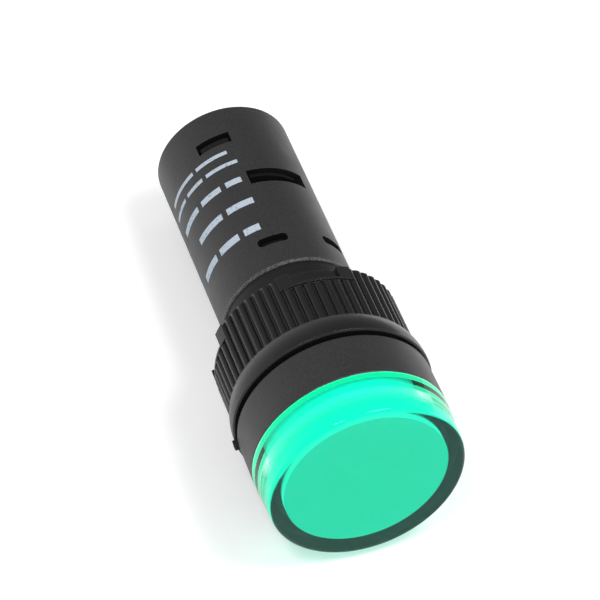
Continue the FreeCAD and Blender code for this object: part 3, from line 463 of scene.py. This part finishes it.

# The bore's frosted part has a painted glow too.
bore, tree, surface = milky_green("acrylic_bore_frosted_painted_glow", "#00d0a8", "#00f4cc", 0.55)
clear = add_node(tree, "ShaderNodeBsdfRefraction", {"Color": linear("#ffffff"), "Roughness": 0.0,
                                                    "IOR": ACRYLIC_IOR})
mirror = add_node(tree, "ShaderNodeBsdfGlossy", {"Color": linear("#eafff8"), "Roughness": 0.0})
fresnel = add_node(tree, "ShaderNodeFresnel", {"IOR": ACRYLIC_IOR})
polished = add_node(tree, "ShaderNodeMixShader", {0: fresnel.outputs[0], 1: clear.outputs[0],
                                                  2: mirror.outputs[0]})
place = add_node(tree, "ShaderNodeTexCoord").outputs["Object"]
along = add_node(tree, "ShaderNodeSeparateXYZ", {0: place}).outputs["Y"]
clearness = ramp(tree, along, (FROSTED_TO - FROST_FADES) * MM, (FROSTED_TO + FROST_FADES) * MM)
over(tree, clearness, surface.outputs[0], polished.outputs[0])

# The foot has a faint painted glow, and a stronger painted green glow is added to its mirror.
foot, tree, surface = milky_green("acrylic_foot_painted_glow", "#04140f", "#0a6a55", 0.12)
facing = add_node(tree, "ShaderNodeLayerWeight", {"Blend": 0.5}).outputs["Facing"]
grazing = add_node(tree, "ShaderNodeMath", {0: facing, 1: TOTAL_REFLECTION}, operation="GREATER_THAN")
mirror = add_node(tree, "ShaderNodeBsdfGlossy", {"Color": linear("#a8e8d4"), "Roughness": 0.0})
painted_glow_at_foot = add_node(tree, "ShaderNodeEmission", {"Color": linear("#08a482"), "Strength": 0.7})
foot_mirror_and_painted_glow = add_node(tree, "ShaderNodeAddShader", {0: mirror.outputs[0], 1: painted_glow_at_foot.outputs[0]})
over(tree, grazing.outputs[0], surface.outputs[0], foot_mirror_and_painted_glow.outputs[0])
print("acrylic mirrors all light from", round(math.degrees(math.asin(1 / ACRYLIC_IOR)), 1), "degrees on")

# %% Give the lens its finishes by face
FOOT_SLACK = 0.1
FACE_AHEAD = 1  # the lens's face lies further than this in front of the bezel
bezel_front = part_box("front_housing")[0].y / MM

dress(acrylic, "lens")
dress_faces("lens", bore, lambda y, radius, back, outward: outward < -0.5)
dress_faces("lens", window, lambda y, radius, back, outward: back > 0.5 and y < bezel_front - FACE_AHEAD)
dress_faces("lens", skirt, lambda y, radius, back, outward: outward > -0.5 and y > bezel_front + FOOT_SLACK)
dress_faces("lens", foot,
            lambda y, radius, back, outward: back > 0.5 and abs(y - bezel_front) < FOOT_SLACK)
# The bezel's front gets the foot's finish and its painted glow.
dress_faces("front_housing", foot,
            lambda y, radius, back, outward: back < -0.9 and abs(y - bezel_front) < FOOT_SLACK)
# The cup under the lens has a painted glow.
dress(milky, "diffuser")

# %% [markdown]
# ## Metal at the terminals
# The clamp plates and the link pins are tin-plated brass, and the screws and washers are zinc-plated
# steel. Both are bright but not mirrors: the plating follows the drawn or rolled surface underneath,
# which shows as fine streaks.

# %% Plated metal
STREAK_STRETCH = 0.05
STREAK_DEPTH = 0.004


def plated_metal(name, colour, roughness, streak_mm):
    """Plated metal with faint streaks from rolling or drawing."""
    material, tree, surface = new_material(name, colour, roughness, Metallic=1.0)
    place = add_node(tree, "ShaderNodeTexCoord").outputs["Object"]
    drawn_out = add_node(tree, "ShaderNodeMapping", {"Vector": place, "Scale": (1, STREAK_STRETCH, 1)})
    streaks = noise(tree, drawn_out.outputs[0], streak_mm, 2.0)
    bump = add_node(tree, "ShaderNodeBump", {"Strength": 0.6, "Distance": STREAK_DEPTH * MM,
                                             "Height": streaks})
    tree.links.new(bump.outputs["Normal"], surface.inputs["Normal"])
    return material


tinned_brass = plated_metal("tin_plated_brass_rolled", "#cfc9b8", 0.30, 0.12)
zinc_steel = plated_metal("zinc_plated_steel", "#c3c6c7", 0.28, 0.15)
dress(tinned_brass, "terminal_strip_1", "terminal_strip_2", "link_pins")
dress(zinc_steel, "terminal_screw_1", "terminal_screw_2", "clamp_washer_1", "clamp_washer_2")

# %% [markdown]
# ## What is inside
# The boards and their parts are hidden in the finished lamp, apart from a glimpse through the latch
# windows. They still get the finish of the real thing, because someone may open the model.

# %% Boards and electronic parts
board_tan = grained_plastic("phenolic_paper_laminate", "#a8874c", 0.5, 0.4, 0.002)
board_white = grained_plastic("white_solder_mask", "#e4e7e2", 0.35, 0.5, 0.002)
led_case = grained_plastic("led_package_resin", "#eeeccb", 0.4, 0.3, 0.002)
film_case = grained_plastic("yellow_epoxy_case", "#b8902a", 0.35, 0.3, 0.004)
can_sleeve = grained_plastic("dark_shrink_sleeve", "#1b2036", 0.3, 0.5, 0.003)
lacquer = grained_plastic("blue_resistor_lacquer", "#5a90a6", 0.3, 0.4, 0.004)
diode_resin = grained_plastic("black_diode_resin", "#161616", 0.4, 0.25, 0.003)
dress(board_tan, "dropper_board")
dress(board_white, "led_board")
dress(led_case, "leds")
dress(film_case, "film_capacitor")
dress(can_sleeve, "smoothing_capacitor")
dress(lacquer, "surge_resistor", "bleed_resistor")
dress(diode_resin, "rectifier_diodes")

# %% [markdown]
# ## Threads
# The barrel carries an M22 by 1 thread, and the nut runs on it. A thread is one ridge wound round a
# cylinder, so it is made as such: a small four-sided section is carried along a right-hand helix and
# fades out at both ends. The nut's own thread is the same ridge, half a turn out of step and pointing
# inwards, so the two mesh at rest and stay in mesh as the nut turns, because the nut moves one pitch for
# each turn.

# %% One ridge wound round a cylinder
PITCH = 1.0
STEPS_A_TURN = 96
FADE_STEPS = STEPS_A_TURN / 4
FOOT_HALF = 0.41  # half widths of the ridge, as shares of the pitch
CREST_HALF = 0.06
FOOT_SUNK = 0.03  # how deep the ridge's foot lies under the surface
LEAST_GROWN = 0.02  # share of its height that is left at its two ends


def thread_ridge(name, root_mm, crest_mm, start_mm, turns, phase, body, material):
    """Right-hand thread about +Y as one closed ridge that fades out over a quarter turn at each end."""
    steps = turns * STEPS_A_TURN
    inward = crest_mm < root_mm
    base = root_mm + (FOOT_SUNK if inward else -FOOT_SUNK)
    points, faces = [], []
    for step in range(steps + 1):
        angle = 2 * math.pi * (step / STEPS_A_TURN + phase)
        grown = min(1.0, step / FADE_STEPS, (steps - step) / FADE_STEPS)
        top = base + (crest_mm - base) * max(grown, LEAST_GROWN)
        ridge_y = start_mm + PITCH * step / STEPS_A_TURN
        section = ((-FOOT_HALF, base), (-CREST_HALF, top), (CREST_HALF, top), (FOOT_HALF, base))
        points += [round_axis(radius, ridge_y + offset * PITCH, angle) for offset, radius in section]
    for step in range(steps):
        for corner in range(4):
            a = 4 * step + corner
            b = 4 * step + (corner + 1) % 4
            quad = (a, a + 4, b + 4, b)
            faces.append(quad if inward else quad[::-1])
    last = 4 * steps
    ends = [(0, 1, 2, 3), (last + 3, last + 2, last + 1, last)]
    faces += ends if inward else [end[::-1] for end in ends]
    ridge = new_piece(name, points, faces, material)
    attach(ridge, body)
    print(name, turns, "turns")
    return ridge


# %% Threads of the barrel and the nut
THREAD_FROM = 1.0
TURNS_BARREL = 16
TURNS_NUT = 13
RIDGE_HEIGHT = 0.55
ROOTS_APART = 0.65
NUT_LEAD, NUT_PHASE = 0.7, 0.2  # together they put the nut's ridge midway between the barrel's turns

barrel_root = tube_radius
barrel_crest = barrel_root + RIDGE_HEIGHT
nut_root = barrel_root + ROOTS_APART
barrel_thread = thread_ridge("barrel_thread", barrel_root, barrel_crest, THREAD_FROM, TURNS_BARREL, 0.0,
                             "lamp_body", barrel_black_with_painted_shade)
nut_thread = thread_ridge("nut_thread", nut_root, nut_root - RIDGE_HEIGHT, THREAD_FROM + NUT_LEAD,
                          TURNS_NUT, NUT_PHASE, "mounting_nut", nylon_black)

# %% [markdown]
# ## The rubber ring
# A flat rubber ring seals the lamp to the panel, and a little tab on it shows where its mould was filled.
# A plain disc would do for the model, but rubber comes out of a mould with soft edges, and the ring has
# to pass over the thread when the nut comes off, so its bore is a hair wider than the thread's crests. It
# is one rounded section carried once round the axis, and the section reaches further out at the tab. A
# hundredth of a millimetre is left free on both faces, so that it doesn't catch on the nut as that turns.

# %% Size of the rubber ring
RING_STEPS = 720
RING_CLEARANCE = 0.05
RING_ROUND = 0.15
RING_SKIN = 0.01
TAB_ANGLE = -100.0  # degrees from the top
TAB_HALF_WIDTH = 0.8
CORNER_POINTS = 4
SECTION_POINTS = 4 * CORNER_POINTS

ring_low, ring_high = (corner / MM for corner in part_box("gasket"))
ring_inner = barrel_crest + RING_CLEARANCE
front_corner_y = ring_low.y + RING_SKIN + RING_ROUND
back_corner_y = ring_high.y - RING_SKIN - RING_ROUND


def ring_outer(angle):
    """Radius of the ring's outside, which steps out to the straight-sided tab."""
    from_tab = angle - math.radians(TAB_ANGLE)
    if math.cos(from_tab) <= 0:
        return ring_high.x
    tab_side = TAB_HALF_WIDTH / max(abs(math.sin(from_tab)), 1e-6)
    return max(ring_high.x, min(-ring_low.x, tab_side))


print("rubber ring bore:", round(2 * ring_inner, 2), "mm, thickness:",
      round(ring_high.y - ring_low.y, 2), "mm")

# %% Rubber ring with its tab
points, faces = [], []
for step in range(RING_STEPS):
    angle = 2 * math.pi * step / RING_STEPS
    outer = ring_outer(angle) - RING_ROUND
    inner = ring_inner + RING_ROUND
    corners = [(outer, back_corner_y), (inner, back_corner_y),
               (inner, front_corner_y), (outer, front_corner_y)]
    for quarter, (corner_radius, corner_y) in enumerate(corners):
        for point in range(CORNER_POINTS):
            turn = math.radians(90 * (quarter + point / (CORNER_POINTS - 1)))
            points.append(round_axis(corner_radius + RING_ROUND * math.cos(turn),
                                     corner_y + RING_ROUND * math.sin(turn), angle))
for step in range(RING_STEPS):
    here = SECTION_POINTS * step
    there = SECTION_POINTS * ((step + 1) % RING_STEPS)
    for corner in range(SECTION_POINTS):
        after = (corner + 1) % SECTION_POINTS
        faces.append((here + corner, there + corner, there + after, here + after))
rubber_ring = new_piece("rubber_ring", points, faces, rubber_black)
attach(rubber_ring, "gasket")
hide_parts("gasket")
print("rubber ring:", len(faces), "faces")

# %% [markdown]
# ## White bars on the tube
# A tube like this carries a few rows of pad printing on its side. Here they are plain bars that say
# nothing. Pad-printed ink is a thin matt film, a hundredth of a millimetre proud of the plastic, and it
# is a little broken where the grain beneath it shows through.

# %% White ink
INK = "#aab6c2"
THIN_INK = "#6d7378"
INK_GRAIN = 0.35
THIN_FROM, THIN_TO = 0.60, 0.68

ink_white, tree, surface = new_material("white_pad_printed_ink", INK, 0.6, Specular_IOR_Level=0.3)
place = add_node(tree, "ShaderNodeTexCoord").outputs["Object"]
broken = ramp(tree, noise(tree, place, INK_GRAIN, 3.0), THIN_FROM, THIN_TO)
ink = add_node(tree, "ShaderNodeMix", {0: broken, 6: linear(INK), 7: linear(THIN_INK)}, data_type="RGBA")
tree.links.new(ink.outputs[2], surface.inputs["Base Color"])
print(ink_white.name, "in grains of", INK_GRAIN, "mm")

# %% Five rows of plain bars
INK_LIFT = 0.012
ARC_STEPS = 10
PRINT_ROWS = [  # place along the lamp, height of the bars, and where each bar starts and ends, in degrees
    (28.6, 1.3, [(-10, -24), (-29, -50), (-55, -80)]),
    (34.0, 1.2, [(-6, -30), (-35, -66)]),
    (38.8, 1.1, [(-8, -22), (-27, -48), (-53, -82)]),
    (42.6, 0.7, [(-5, -34), (-38, -58), (-62, -86)]),
    (45.0, 0.7, [(-10, -40), (-44, -82)]),
]

points, faces = [], []
for row_y, height, bars in PRINT_ROWS:
    for start_angle, end_angle in bars:
        for step in range(ARC_STEPS + 1):
            angle = math.radians(start_angle + (end_angle - start_angle) * step / ARC_STEPS)
            for y in (row_y - height / 2, row_y + height / 2):
                points.append(round_axis(tube_radius + INK_LIFT, y, angle))
            if step:
                last = len(points) - 1
                faces.append((last - 3, last - 2, last, last - 1))
plain_print = new_piece("plain_print", points, faces, ink_white)
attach(plain_print, "lamp_body")
print("print:", sum(len(bars) for row_y, height, bars in PRINT_ROWS), "bars in", len(PRINT_ROWS), "rows")
